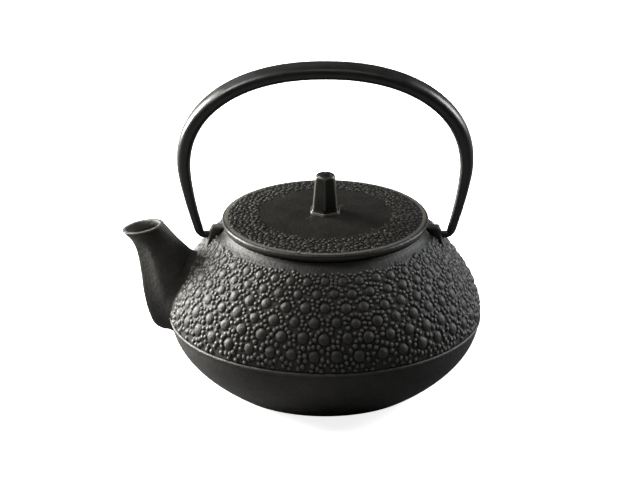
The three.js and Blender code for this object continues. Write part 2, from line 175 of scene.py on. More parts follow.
LID_RADIUS = reach_mm("lid_disc")
LID_UNDERSIDE = NECK_Z + 0.3
LID_EDGE = 3.95
LID_RIM_Z = LID_UNDERSIDE + LID_EDGE
LID_RISE = 3.0
LID_CENTRE_Z = LID_RIM_Z + LID_RISE
LID_THICKNESS = 4.1
LID_CEILING_Z = LID_CENTRE_Z - LID_THICKNESS
SKIRT_Z = bottom_mm("lid_disc")
SKIRT_RADIUS = 36.2
SKIRT_WALL = 2.8
SCREW_HOLE = 2.3
PEBBLE_INNER = 30.2
PEBBLE_OUTER = 47.2
PEBBLE_FRAY = 3.0  # unevenness of the band's inner edge
PEBBLE_SORTS = ((1.25, 500), (0.95, 2500), (0.6, 6000))  # radius, and how many are tried
PEBBLE_SIZES = (0.75, 1.1)  # of the pebble's radius
PEBBLE_HEIGHT = 0.5  # of the radius of that pebble
LID_COLUMNS = 960

KNOB_Z = bottom_mm("lid_knob")
KNOB_HEIGHT = top_mm("lid_knob") - KNOB_Z
KNOB_PLINTH = 7.0  # apothems of the hexagon
KNOB_BASE = 6.3
KNOB_TOP = 4.9
KNOB_CROWN = 16.0
KNOB_DOME = 6.1
KNOB_EDGE = 15  # more is sharper
CROWN_EDGE = 14.0
KNOB_TURN = math.radians(-32)

COLLAR_RADIUS = 38.9
COLLAR_Z = bottom_mm("infuser_rim")
COLLAR_DEPTH = 8.0
FLANGE_Z = COLLAR_Z + COLLAR_DEPTH
SCREEN_RADIUS = 37.7
CUP_RADIUS = reach_mm("infuser_base_cup")
CUP_Z = bottom_mm("infuser_base_cup")
CUP_TOP = top_mm("infuser_base_cup")
SHEET = 0.6
MESH_PITCH = 1.3
WIRE = 0.17
WIRE_SIDES = 5


# ---------------------------------------------------------------- numbers and meshes


def ease(t):
    t = np.clip(t, 0, 1)
    return t * t * (3 - 2 * t)


def mix(a, b, t):
    return a + (b - a) * t


def catmull_rom(points, t):
    """Points of a uniform Catmull-Rom spline at parameters t from 0 to 1."""
    knots = np.asarray(points, float)
    last = len(knots) - 1
    place = np.clip(np.asarray(t) * last, 0, last - 1e-9)
    i = place.astype(int)
    w = (place - i)[:, None]
    p0, p1 = knots[np.maximum(i - 1, 0)], knots[i]
    p2, p3 = knots[i + 1], knots[np.minimum(i + 2, last)]
    v0, v1 = (p2 - p0) / 2, (p3 - p1) / 2
    return (2 * p1 - 2 * p2 + v0 + v1) * w**3 + (3 * p2 - 3 * p1 - 2 * v0 - v1) * w**2 + v0 * w + p1


def bezier(points, t):
    """Points of a quadratic or cubic Bezier curve."""
    rows = [np.asarray(p, float) + 0 * t[:, None] for p in points]
    while len(rows) > 1:
        rows = [mix(a, b, t[:, None]) for a, b in zip(rows, rows[1:])]
    return rows[0]


def arc(centre, radius, start, end, steps):
    """Points of an arc in a profile, with angles in degrees from the outward direction."""
    return [
        (centre[0] + radius * math.cos(a), centre[1] + radius * math.sin(a))
        for a in np.radians(np.linspace(start, end, steps))
    ]


def skin(rings, joined=False):
    """Points and faces of a skin through rings of equal length, capped with fans or joined end to start."""
    rings = np.asarray(rings, float)
    rows, columns = rings.shape[:2]
    i, j = np.meshgrid(np.arange(rows if joined else rows - 1), np.arange(columns), indexing="ij")
    after = (i + 1) % rows
    beside = (j + 1) % columns
    quads = [i * columns + j, i * columns + beside, after * columns + beside, after * columns + j]
    points = rings.reshape(-1, 3)
    faces = np.stack(quads, -1).reshape(-1, 4).tolist()
    if not joined:
        for first, centre in ((0, len(points)), ((rows - 1) * columns, len(points) + 1)):
            faces += [[first + k, first + (k + 1) % columns, centre] for k in range(columns)]
        points = np.vstack([points, rings[0].mean(0), rings[-1].mean(0)])
    return points, faces


def lathe(profile, columns):
    """Rings made by turning a profile of (radius, height) points about Z."""
    profile = np.asarray(profile, float)
    theta = np.arange(columns) / columns * TURN
    r, z = profile[:, :1], profile[:, 1:]
    return np.stack([r * np.cos(theta), r * np.sin(theta), z + 0 * theta], -1)


def solid(name, points, faces):
    """A mesh object in metres with its faces turned outwards."""
    mesh = bpy.data.meshes.new(name)
    mesh.from_pydata((np.asarray(points) * MM).tolist(), [], faces)
    made = bmesh.new()
    made.from_mesh(mesh)
    bmesh.ops.recalc_face_normals(made, faces=made.faces)
    made.to_mesh(mesh)
    made.free()
    piece = bpy.data.objects.new(name, mesh)
    bpy.context.scene.collection.objects.link(piece)
    return piece


def combine(target, tool, operation):
    """Joins or cuts target with tool, which is used up."""
    modifier = target.modifiers.new("combine", "BOOLEAN")
    modifier.operation = operation
    modifier.solver = "MANIFOLD"
    modifier.object = tool
    bpy.context.view_layer.update()
    evaluated = target.evaluated_get(bpy.context.evaluated_depsgraph_get())
    result = bpy.data.meshes.new_from_object(evaluated)
    target.modifiers.clear()
    target.data = result
    bpy.data.objects.remove(tool)


def coordinates(mesh):
    flat = np.empty(len(mesh.vertices) * 3)
    mesh.vertices.foreach_get("co", flat)
    return flat.reshape(-1, 3) / MM


def sharpen(mesh, degrees):
    """Keeps edges that turn by more than the given angle sharp under smooth shading."""
    limit = math.radians(degrees)
    made = bmesh.new()
    made.from_mesh(mesh)
    for edge in made.edges:
        edge.smooth = edge.calc_face_angle(0) < limit
    made.to_mesh(mesh)
    made.free()


def place(piece, body, node, slot, materials, crease=40):
    """Shading, materials and the piece's place in the assembly."""
    mesh = piece.data
    mesh.shade_smooth()
    sharpen(mesh, crease)
    if len(mesh.materials):
        mesh.materials.clear()
    for material in materials:
        mesh.materials.append(material)
    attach(piece, body)
    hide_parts(node)
    return piece


# ---------------------------------------------------------------- studs, beads and pebbles


class Packer:
    """Keeps points that stand clear of the ones kept before."""

    def __init__(self):
        self.places = np.empty((0, 3))

    def add(self, point, clearance):
        if len(self.places) and np.min(np.sum((self.places - point) ** 2, 1)) < clearance**2:
            return False
        self.places = np.vstack([self.places, point])
        return True


def raised(rows, radii, columns, bumps):
    """Heights on a grid of rows by columns, from bumps of (row position, angle, radius, height)."""
    heights = np.zeros((len(rows), columns))
    step = TURN / columns
    for s, theta, radius, height in bumps:
        low, high = np.searchsorted(rows, [s - radius, s + radius])
        if low == high:
            continue
        across = radii[(low + high) // 2]
        span = int(radius / (across * step)) + 1
        cols = round(theta / step) + np.arange(-span, span + 1)
        sideways = (cols * step - theta) * across
        q = ((rows[low:high, None] - s) ** 2 + sideways**2) / radius**2
        dome = height * np.clip(1 - q, 0, None) ** DOME_POWER
        block = np.ix_(np.arange(low, high), cols % columns)
        heights[block] = np.maximum(heights[block], dome)
    return heights


def studded(rng, s_line, r_line, z_line, allowed):
    """Staggered rows of studs, each in its ring of beads, with the gaps between the rings filled."""
    length = s_line[-1]

    def skin_point(s, theta):
        r = np.interp(s, s_line, r_line)
        return np.array([r * math.cos(theta), r * math.sin(theta), np.interp(s, s_line, z_line)])

    def pitch_at(s):
        return TURN * np.interp(s, s_line, r_line) / STUDS_PER_ROW

    studs = []
    around, along = STUD_SHIFT
    s = FIRST_ROW
    row = 0
    while s < length - STUD_MARGIN:
        for k in range(STUDS_PER_ROW):
            theta = (k + 0.5 * (row % 2) + rng.uniform(-around, around)) * TURN / STUDS_PER_ROW
            studs.append((s + rng.uniform(-along, along) * pitch_at(s), theta))
        s += ROW_SPACING * pitch_at(s)
        row += 1
    centres = np.array([skin_point(*stud) for stud in studs])
    reaches = np.array([STUD_RADIUS * pitch_at(s) for s, _ in studs])
    bumps = []
    for (s, theta), centre, reach in zip(studs, centres, reaches):
        radius = reach * rng.uniform(*STUD_SIZES)
        if allowed(centre, radius):
            bumps.append((s, theta, radius, rng.uniform(*STUD_HEIGHTS) * radius))

    packer = Packer()

    def add_bead(s, theta, spacing):
        if not BEAD_MARGINS[0] < s < length - BEAD_MARGINS[1]:
            return
        point = skin_point(s, theta)
        radius = BEAD_RADIUS * pitch_at(s) * rng.uniform(*BEAD_SIZES)
        crowded = (np.linalg.norm(centres - point, axis=1) - reaches).min() < radius
        if not crowded and allowed(point, radius) and packer.add(point, spacing * pitch_at(s)):
            bumps.append((s, theta % TURN, radius, BEAD_HEIGHT * radius))

    for s, theta in studs:
        phase = rng.uniform(0, TURN)
        for k in range(BEADS_PER_RING):
            a = phase + (k + rng.uniform(-RING_SLIP, RING_SLIP)) / BEADS_PER_RING * TURN
            ring = mix(*RING_RADII, math.sin(a) ** 2) * rng.uniform(*RING_STRETCH)
            sideways = ring * math.cos(a) * TURN / STUDS_PER_ROW
            add_bead(s + ring * pitch_at(s) * math.sin(a), theta + sideways, BEAD_SPACING)
    for _ in range(FILL_TRIES):
        add_bead(rng.uniform(BEAD_MARGINS[0], length), rng.uniform(0, TURN), BEAD_SPACING)
    return bumps


def pebbled(rng):
    """Loose pebbles of three sizes on the lid's outer band, fewer along its inner edge."""
    bumps = []
    packer = Packer()
    for radius, tries in PEBBLE_SORTS:
        clearance = 1.0 + radius * 0.95
        for _ in range(tries):
            r = rng.uniform(PEBBLE_INNER + radius, PEBBLE_OUTER - radius)
            theta = rng.uniform(0, TURN)
            inside = r - radius < PEBBLE_INNER + PEBBLE_FRAY * rng.uniform(0, 1) ** 0.5
            spot = np.array([r * math.cos(theta), r * math.sin(theta), 0])
            if not inside and packer.add(spot, clearance):
                size = radius * rng.uniform(*PEBBLE_SIZES)
                bumps.append((r, theta, size, PEBBLE_HEIGHT * size))
    return bumps


# ---------------------------------------------------------------- pot


def pot_radius(z):
    """Outer radius of the CAD pot at a height; the bowl is set back below the mould line."""
    z = np.asarray(z, float)
    widest = POT_RADIUS - SEAM_STEP
    drop = np.clip((WAIST_Z - z) / WAIST_Z, 0, 1)
    rise = np.clip((z - WAIST_Z) / (NECK_BASE_Z - WAIST_Z), 0, 1)
    bowl = widest - (widest - FOOT_RADIUS) * drop**BOWL_POWER
    shoulder = POT_RADIUS - (POT_RADIUS - NECK_BASE_RADIUS) * rise**SHOULDER_POWER
    return np.where(z < SEAM_Z, bowl, shoulder)


def above_pot(points):
    """Rough distance of points from the pot's own surface, positive outside."""
    x, y, z = np.moveaxis(np.asarray(points, float), -1, 0)
    slope = pot_radius(z + 0.5) - pot_radius(z - 0.5)
    return (np.hypot(x, y) - pot_radius(z)) / np.sqrt(1 + slope**2)


def shoulder_line():
    """The ground at even steps along the surface, from the mould line to the foot of the neck."""
    z = np.linspace(SEAM_Z + TEXTURE_START, NECK_BASE_Z, 800)
    base = np.array([NECK_BASE_RADIUS, NECK_BASE_Z])
    flare = bezier([base, base + [-0.9, 0.9], base + NECK_TEXTURE], np.linspace(0, 1, 50)[1:])
    r = np.concatenate([pot_radius(z), flare[:, 0]])
    z = np.concatenate([z, flare[:, 1]])
    dr, dz = np.gradient(r), np.gradient(z)
    run = np.hypot(dr, dz)
    r = r - RELIEF * dz / run
    z = z + RELIEF * dr / run
    s = np.concatenate([[0], np.cumsum(np.hypot(np.diff(r), np.diff(z)))])
    even = np.arange(0, s[-1], TEXTURE_STEP)
    return even, np.interp(even, s, r), np.interp(even, s, z)


def keel_faces(a):
    """How far in the two faces beside the spout's keel lie, as a part of the round section's radius."""
    slant = np.maximum(np.cos(a - KEEL_FACE), np.cos(a + KEEL_FACE)) / KEEL_DEPTH
    return (1 + np.clip(slant, 0, None) ** KEEL_EDGE) ** (-1 / KEEL_EDGE)


def spout_rings(sides, stations, bore=False):
    """Rings of the spout's skin, or of its bore, from an eased lip to the root."""
    t = np.concatenate([LIP_STATIONS, np.linspace(0.033, 1, stations)])
    upper, lower = catmull_rom(SPOUT_UPPER, t), catmull_rom(SPOUT_LOWER, t)
    centre, along = (upper + lower) / 2, (upper - lower) / 2
    reach = np.linalg.norm(along, axis=1)
    along /= reach[:, None]
    to_throat, to_root = ease(t * 8), ease(t * 1.6)
    half = mix(mix(SPOUT_MOUTH, SPOUT_THROAT, to_throat), SPOUT_ROOT, to_root)
    lip = slice(len(LIP_STATIONS))
    if bore:
        wall = mix(LIP_WALL, SPOUT_WALL, ease(t * 9))
        wall[lip] = LIP_WALL - LIP_INNER_ROUNDING
    else:
        wall = 0 * t
        wall[lip] = LIP_OUTER_ROUNDING
    keel = SPOUT_KEEL * to_root[:, None]
    a = np.arange(sides) / sides * TURN
    flat = keel_faces(a) ** ease(t * 4)[:, None]
    offset = (reach - wall)[:, None] * np.cos(a) * flat
    y = (half - wall)[:, None] * np.sin(a) * (1 + keel * np.cos(a)) * flat
    rings = np.stack([centre[:, :1] + along[:, :1] * offset, y, centre[:, 1:] + along[:, 1:] * offset], -1)
    if bore:
        outward = 3 * np.array([-along[0, 1], 0, along[0, 0]])
        rings = np.concatenate([rings[:1] + outward, rings])
    return rings


def filleted_spout():
    """The spout, swollen where it nears the pot."""
    rings = spout_rings(96, 90)
    swell = SWELL * np.clip(1 - np.abs(above_pot(rings)) / FILLET, 0, 1) ** 2
    away = rings - rings.mean(1, keepdims=True)
    away /= np.linalg.norm(away, axis=2, keepdims=True)
    return solid("spout", *skin(rings + away * swell[..., None]))


def tree_of(piece):
    mesh = piece.data
    return BVHTree.FromPolygons([v.co for v in mesh.vertices], [p.vertices for p in mesh.polygons])


def gap_to(tree, point):
    """Distance of a point from the tree's surface, negative inside it."""
    at = Vector(point) * MM
    nearest, normal, _, distance = tree.find_nearest(at)
    return math.copysign(distance / MM, (at - nearest).dot(normal))


def stud_places(tree):
    """A test for where a stud or bead may stand: clear of the lugs and of the spout."""

    def allowed(point, radius):
        if point[2] > LUG_EMERGES_Z:
            rise = (point[2] - LUG_ROOT_Z) / (NECK_Z - LUG_ROOT_Z)
            if abs(point[1]) < mix(LUG_ROOT_HALF, LUG_TOP_HALF, rise) + radius * 0.4:
                return False
        far_from_spout = point[0] > -45 or abs(point[1]) > 25
        return far_from_spout or gap_to(tree, point) > radius + STUD_TO_SPOUT

    return allowed


def pot_outside(tree):
    """The casting's outer skin: flat base, bowl, ribbed mould line, studded shoulder and plain neck."""
    s, r, z = shoulder_line()
    bumps = studded(np.random.default_rng(SEED), s, r, z, stud_places(tree))
    fade = ease(s / TEXTURE_FADE) * ease((s[-1] - s) / TEXTURE_FADE)
    lift = raised(s, r, POT_COLUMNS, bumps) * fade[:, None]

    foot = [(20, 0), (34, 0), (FOOT_RADIUS - 1.6, 0), (FOOT_RADIUS - 0.7, 0.15), (FOOT_RADIUS - 0.1, 0.5)]
    bowl = [(float(pot_radius(h)), h) for h in np.linspace(1.0, SEAM_Z - RIB_FOOT, 30)]
    rib = [(POT_RADIUS - inset, SEAM_Z + rise) for inset, rise in RIB]
    neck = bezier([(r[-1], z[-1]), (49.2, 78.6), (NECK_RADIUS, NECK_Z - 0.6)], np.linspace(0, 1, 13)[1:])
    rim = arc((NECK_RADIUS - 0.6, NECK_Z - 0.6), 0.6, 20, 90, 4)

    below = np.array(foot + bowl + rib)
    rings = lathe(np.vstack([below, np.stack([r, z], -1), neck, rim, [(30, NECK_Z)]]), POT_COLUMNS)
    dr, dz = np.gradient(r), np.gradient(z)
    run = np.hypot(dr, dz)
    theta = np.arange(POT_COLUMNS) / POT_COLUMNS * TURN
    outward, upward = lift * (dz / run)[:, None], -lift * (dr / run)[:, None]
    band = slice(len(below), len(below) + len(s))
    rings[band] += np.stack([outward * np.cos(theta), outward * np.sin(theta), upward], -1)
    swell_towards(rings, tree)
    return solid("cast_pot", *skin(rings))


def swell_towards(rings, tree):
    """Raises the pot's skin where it nears the spout, so that the two run into each other."""
    x, y, z = np.moveaxis(rings, -1, 0)
    for row, column in np.argwhere((x < -50) & (np.abs(y) < 22) & (z > 18) & (z < NECK_BASE_Z)):
        point = rings[row, column]
        nearness = np.clip(1 - gap_to(tree, point) / FILLET, 0, 1)
        swell = SWELL * nearness**2
        point[:2] *= 1 + 0.9 * swell / math.hypot(point[0], point[1])


def soften_junction(piece, tree):
    """Relaxes the crease between the pot's skin and the spout."""
    points = coordinates(piece.data)
    weight = np.zeros(len(points))
    close = (points[:, 0] < -50) & (np.abs(points[:, 1]) < 20) & (np.abs(above_pot(points)) < 4)
    for i in np.flatnonzero(close):
        weight[i] = ease(1 - abs(gap_to(tree, points[i])) / SOFTEN_REACH)
    pairs = np.empty(len(piece.data.edges) * 2, int)
    piece.data.edges.foreach_get("vertices", pairs)
    pairs = pairs.reshape(-1, 2)
    pairs = pairs[(weight[pairs] > 0).any(1)]
    count = np.bincount(pairs.ravel(), minlength=len(points))[:, None]
    moving = weight > 0
    for _ in range(SOFTEN_PASSES):
        total = np.zeros_like(points)
        np.add.at(total, pairs[:, 0], points[pairs[:, 1]])
        np.add.at(total, pairs[:, 1], points[pairs[:, 0]])
        mean = total[moving] / count[moving]
        points[moving] += (mean - points[moving]) * 0.5 * weight[moving, None]
    piece.data.vertices.foreach_set("co", (points * MM).ravel())
    piece.data.update()


def lug(side):
    """A handle lug with eased edges, wide at its root and narrow at its top."""
    made = bmesh.new()
    bmesh.ops.create_cube(made, size=1)
    for v in made.verts:
        top = v.co.z > 0
        outer = LUG_TOP_X if top else LUG_ROOT_X
        v.co.x = side * (outer if v.co.x * side > 0 else LUG_INNER_X)
        v.co.y = math.copysign(LUG_TOP_HALF if top else LUG_ROOT_HALF, v.co.y)
        v.co.z = NECK_Z - 0.15 if top else LUG_ROOT_Z
    bmesh.ops.bevel(made, geom=made.edges[:], offset=0.9, segments=4, profile=0.5, affect="EDGES")
    made.verts.index_update()
    points = [tuple(v.co) for v in made.verts]
    faces = [[v.index for v in f.verts] for f in made.faces]
    made.free()
    return solid("lug", points, faces)


def socket(side):
    """A round bar along X, to cut the blind socket for one of the handle's pins."""
    a = np.arange(32) / 32 * TURN
    ring = np.stack([0 * a, SOCKET_RADIUS * np.cos(a), PIVOT_Z + SOCKET_RADIUS * np.sin(a)], -1)
    ends = [ring + [side * x, 0, 0] for x in (SOCKET_BOTTOM_X, LUG_ROOT_X + 2)]
    return solid("socket", *skin(ends))


def cavity():
    """The hollow inside the pot and the rebated mouth above it."""
    mouth = [(SEAT_RADIUS + 1, NECK_Z + 1), (SEAT_RADIUS, NECK_Z - 0.4)]
    mouth += [(SEAT_RADIUS, SEAT_Z), (BORE_RADIUS, SEAT_Z)]
    side = [(float(pot_radius(h)) - WALL * 1.15, h) for h in np.linspace(NECK_BASE_Z - 8, FLOOR_Z + 2.6, 30)]
    roof = [(BORE_RADIUS, BORE_Z), (side[0][0] - 5, NECK_BASE_Z - 5)]
    floor = arc((side[-1][0] - 4.4, FLOOR_Z + 4.4), 4.4, -30, -90, 6)
    return solid("cavity", *skin(lathe(mouth + roof + side + floor, 320)))


def mark_lining(mesh):
    """Gives the cavity's faces the second material."""
    flat = np.empty(len(mesh.polygons) * 3)
    mesh.polygons.foreach_get("center", flat)
    x, y, z = flat.reshape(-1, 3).T / MM
    reach = np.where(z < NECK_BASE_Z - 3, pot_radius(z) - WALL * 0.7, SEAT_RADIUS + 1)
    lined = (z > FLOOR_Z - 0.5) & (z < SEAT_Z + 0.1) & (np.hypot(x, y) < reach)
    mesh.polygons.foreach_set("material_index", lined.astype(np.int32))


def make_pot(iron, lining):
    spout = filleted_spout()
    tree = tree_of(spout)
    pot = pot_outside(tree)
    combine(pot, spout, "UNION")
    soften_junction(pot, tree)
    for side in (-1, 1):
        combine(pot, lug(side), "UNION")
    combine(pot, cavity(), "DIFFERENCE")
    combine(pot, solid("bore", *skin(spout_rings(96, 60, bore=True))), "DIFFERENCE")
    for side in (-1, 1):
        combine(pot, socket(side), "DIFFERENCE")
    place(pot, "pot", "pot_body", "cast_iron", [iron, lining], crease=55)
    mark_lining(pot.data)


# ---------------------------------------------------------------- handle


def bail_line():
    """The bar's centre line in the XZ plane, from one pin's tip to the other, heights from the pivot."""
    foot = np.array(BAIL_FOOT)
    t = np.linspace(0, 1, 120)[:, None]
    pin = mix(np.array([BAIL_TIP_X, 0]), np.array([BAIL_BEND_X, 0]), t)
    bend = bezier([(BAIL_BEND_X, 0), (BAIL_BEND_X + 2.1, 0), foot], t[:, 0])
    leg = bezier([foot, foot + [4, 13], (BAIL_SPAN, BAIL_SPRING - 6.5), (BAIL_SPAN, BAIL_SPRING)], t[:, 0])
    quarter = t[:, 0] * math.pi / 2
    across = BAIL_SPAN * np.clip(np.cos(quarter), 0, 1) ** (2 / BAIL_ARCH_POWER)
    up = BAIL_SPRING + (BAIL_RISE - BAIL_SPRING) * np.sin(quarter) ** (2 / BAIL_ARCH_POWER)
    arch = np.stack([across, up], -1)
    half = np.concatenate([pin, bend, leg, arch])
    run = np.concatenate([[0], np.cumsum(np.linalg.norm(np.diff(half, axis=0), axis=1))])
    even = np.linspace(0, run[-1], 150)
    half = np.stack([np.interp(even, run, half[:, 0]), np.interp(even, run, half[:, 1])], -1)
    return np.concatenate([half, half[-2::-1] * [-1, 1]])


def make_bail(black):
    """The bent bar: round pins, legs that widen, and a broad flattened grip."""
    line = bail_line()
    tangent = np.gradient(line, axis=0)
    tangent /= np.linalg.norm(tangent, axis=1, keepdims=True)
    rise = line[:, 1]
    rod = mix(BAIL_PIN, BAIL_ROD, ease(rise / 3))
    thickness = rod + (BAIL_THICKNESS - BAIL_ROD) * ease(rise / 60)
    width = rod + (BAIL_WIDTH - BAIL_ROD) * ease(rise / 74)
    power = mix(2, 2.5, ease(rise / 20))[:, None]
    tip = np.ones(len(line))
    tip[:3] = tip[:-4:-1] = [0.55, 0.85, 0.97]
    a = np.arange(48) / 48 * TURN
    u = np.sign(np.cos(a)) * np.abs(np.cos(a)) ** (2 / power) * (thickness * tip / 2)[:, None]
    v = np.sign(np.sin(a)) * np.abs(np.sin(a)) ** (2 / power) * (width * tip / 2)[:, None]
    x = line[:, :1] + tangent[:, 1:] * u
    z = PIVOT_Z + line[:, 1:] - tangent[:, :1] * u
    bar = solid("bail_bar", *skin(np.stack([x, v, z], -1)))
    place(bar, "handle", "handle_bail", "bail_steel", [black], crease=60)


# ---------------------------------------------------------------- lid


def lid_top(r):
    return LID_CENTRE_Z - LID_RISE * (np.asarray(r) / LID_RADIUS) ** 2


def make_lid(iron):
    """The lid plate, with a pebbled band round its smooth middle and a locating skirt below."""
    inner = SKIRT_RADIUS - SKIRT_WALL
    under = [(SCREW_HOLE, LID_CEILING_Z), (11, LID_CEILING_Z), (inner - 1, LID_UNDERSIDE + 0.4)]
    skirt = [(inner, LID_UNDERSIDE - 0.6), (inner, SKIRT_Z + 0.5)]
    skirt += arc((inner + 0.5, SKIRT_Z + 0.5), 0.5, 180, 270, 4)
    skirt += arc((SKIRT_RADIUS - 0.7, SKIRT_Z + 0.7), 0.7, -90, 0, 5)
    skirt += arc((SKIRT_RADIUS + 0.6, LID_UNDERSIDE - 0.6), 0.6, 180, 90, 4)
    undercut = [(LID_RADIUS - inset, LID_UNDERSIDE + rise) for inset, rise in ((2.4, 0), (0.8, 0), (0, 2.1))]
    rim = bezier(undercut, np.linspace(0, 1, 9)).tolist()
    rim += arc((LID_RADIUS - 1.2, LID_RIM_Z - 1.2), 1.2, 0, 80, 9)
    margin = [(r, float(lid_top(r))) for r in (LID_RADIUS - 1.6, LID_RADIUS - 2.4)]
    band = np.arange(PEBBLE_OUTER, PEBBLE_INNER, -0.3)
    middle = [(r, float(lid_top(r))) for r in np.arange(PEBBLE_INNER - 0.6, SCREW_HOLE, -0.9)]
    middle.append((SCREW_HOLE, LID_CENTRE_Z))

    start = len(under + skirt + rim + margin)
    profile = np.vstack([under + skirt + rim + margin, np.stack([band, lid_top(band)], -1), middle])
    rings = lathe(profile, LID_COLUMNS)
    bumps = pebbled(np.random.default_rng(SEED + 1))
    rows = band[::-1]
    rings[start:start + len(band), :, 2] += raised(rows, rows, LID_COLUMNS, bumps)[::-1]
    plate = solid("lid_plate", *skin(rings, joined=True))
    place(plate, "lid", "lid_disc", "cast_iron", [iron], crease=55)


def hexagon(apothem, sharpness, a):
    """Radius at angle a of a hexagon whose corners are rounder the lower the sharpness."""
    faces = KNOB_TURN + (np.arange(6) + 0.5) * TURN / 6
    reach = np.clip(np.cos(a[..., None] - faces), 0, None) ** sharpness
    return apothem / reach.sum(-1) ** (1 / sharpness)


def make_knob(iron):
    """A tapered hexagon on a thin plinth, with soft edges and a domed crown that arches over each face."""
    a = np.arange(120) / 120 * TURN
    rise = np.concatenate([
        [0, 0.15, 0.75, 0.95, 1.05, 1.15, 1.35, 1.7, 2.2],
        np.linspace(2.8, KNOB_CROWN, 26),
        KNOB_CROWN + (KNOB_HEIGHT - KNOB_CROWN) * np.sin(np.linspace(0.05, 0.5 * math.pi - 0.02, 26)),
    ])
    plinth = np.interp(rise, [0, 0.15, 0.75, 0.95, 1.05, 1.35, 2.2], [0.93, 1, 1, 0.985, 0.95, 0.3, 0])
    apothem = mix(KNOB_BASE, KNOB_TOP, rise / KNOB_CROWN) + (KNOB_PLINTH - KNOB_BASE) * plinth
    hexes = hexagon(apothem[:, None], KNOB_EDGE, a[None, :])
    crown = np.clip((rise - KNOB_CROWN) / (KNOB_HEIGHT - KNOB_CROWN), 0, 1)
    clear_of_faces = KNOB_DOME * (2 - rise / KNOB_CROWN)
    dome = np.where(rise < KNOB_CROWN, clear_of_faces, KNOB_DOME * np.sqrt(1 - crown**2))[:, None]
    r = (hexes**-CROWN_EDGE + np.maximum(dome, 0.05) ** -CROWN_EDGE) ** (-1 / CROWN_EDGE)
    rings = np.stack([r * np.cos(a), r * np.sin(a), KNOB_Z + rise[:, None] + 0 * a], -1)
    knob = solid("hex_knob", *skin(rings))
    place(knob, "lid", "lid_knob", "cast_iron", [iron], crease=50)


def make_fixings(steel):
    """The washer and the slotted screw under the lid."""
    z0, z1 = bottom_mm("knob_washer"), top_mm("knob_washer")
    r = reach_mm("knob_washer")
    profile = [(SCREW_HOLE, z0), (r - 0.2, z0), (r, z0 + 0.2), (r, z1 - 0.2), (r - 0.2, z1), (SCREW_HOLE, z1)]
    washer = solid("washer_ring", *skin(lathe(profile, 96), joined=True))
    place(washer, "lid", "knob_washer", "stainless", [steel])

    z0, z1 = bottom_mm("knob_screw"), top_mm("knob_screw")
    head = [(2.2, z0), (3.1, z0 + 0.35), (3.7, z0 + 1.0), (4.0, z0 + 1.9), (4.0, z0 + 2.5), (3.9, z0 + 2.6)]
    threads = [(1.98 - 0.22 * (k % 2), z0 + 2.7 + 0.35 * k) for k in range(35)]
    screw = solid("slotted_screw", *skin(lathe(head + [(2.0, z0 + 2.6)] + threads + [(1.2, z1)], 64)))
    slot = [[(x, y, z) for x, y in ((-6, -0.6), (6, -0.6), (6, 0.6), (-6, 0.6))] for z in (z0 - 1, z0 + 1.2)]
    combine(screw, solid("slot", *skin(slot)), "DIFFERENCE")
    place(screw, "lid", "knob_screw", "stainless", [steel])


# ---------------------------------------------------------------- infuser


def wires(paths, sides, closed):
    """Points and faces of round wires along paths of equal length, with sides given as unit vectors."""
    points, faces = [], []
    count = 0
    a = np.arange(WIRE_SIDES) / WIRE_SIDES * TURN
    for path, side in zip(paths, sides):
        tangent = np.gradient(path, axis=0)
        tangent /= np.linalg.norm(tangent, axis=1, keepdims=True)
        across = np.cross(tangent, side)
        rings = path[:, None] + WIRE * (
            side[:, None] * np.cos(a)[:, None] + across[:, None] * np.sin(a)[:, None]
        )
        wire_points, wire_faces = skin(rings, joined=closed)
        points.append(wire_points)
        faces += [[v + count for v in f] for f in wire_faces]
        count += len(wire_points)
    return np.vstack(points), faces


def woven_wall():
    """Upright wires and hoops that pass in front of and behind each other."""
    uprights = round(TURN * SCREEN_RADIUS / MESH_PITCH / 2) * 2
    low, high = CUP_Z + 1.4, COLLAR_Z + 6
    hoops = int((high - low) / MESH_PITCH)
    paths, sides = [], []
    rise = np.linspace(0, hoops, 2 * hoops + 1)
    for i in range(uprights):
        theta = i / uprights * TURN
        r = SCREEN_RADIUS + WIRE * np.cos(math.pi * (rise + i))
        outward = np.array([math.cos(theta), math.sin(theta), 0])
        paths.append(np.stack([r * outward[0], r * outward[1], low + rise * MESH_PITCH], -1))
        sides.append(np.tile(outward, (len(rise), 1)))
    upright_mesh = wires(paths, sides, closed=False)
    steps = np.arange(2 * uprights) / 2
    theta = steps / uprights * TURN
    paths, sides = [], []
    for k in range(1, hoops):
        r = SCREEN_RADIUS - WIRE * np.cos(math.pi * (steps + k))
        paths.append(np.stack([r * np.cos(theta), r * np.sin(theta), low + k * MESH_PITCH + 0 * theta], -1))
        sides.append(np.stack([np.cos(theta), np.sin(theta), 0 * theta], -1))
    return joined_meshes(upright_mesh, wires(paths, sides, closed=True))


def woven_floor(z):
    """Two sets of straight wires woven across the base."""
    reach = SCREEN_RADIUS - 0.3
    lines = int(reach / MESH_PITCH)
    parts = []
    for turned in (False, True):
        paths, sides = [], []
        for i in range(-lines, lines + 1):
            half = math.sqrt(reach**2 - (i * MESH_PITCH) ** 2)
            crossings = int(half / MESH_PITCH)
            if crossings == 0:
                continue
            along = np.arange(-2 * crossings, 2 * crossings + 1) / 2
            wave = WIRE * np.cos(math.pi * (along + i)) * (-1 if turned else 1)
            across = np.full(len(along), i * MESH_PITCH)
            xy = (across, along * MESH_PITCH) if turned else (along * MESH_PITCH, across)
            paths.append(np.stack([*xy, z + wave], -1))
            sides.append(np.tile([0.0, 0.0, 1.0], (len(along), 1)))
        parts.append(wires(paths, sides, closed=False))
    return joined_meshes(*parts)


def joined_meshes(first, second):
    points = np.vstack([first[0], second[0]])
    return points, first[1] + [[v + len(first[0]) for v in f] for f in second[1]]


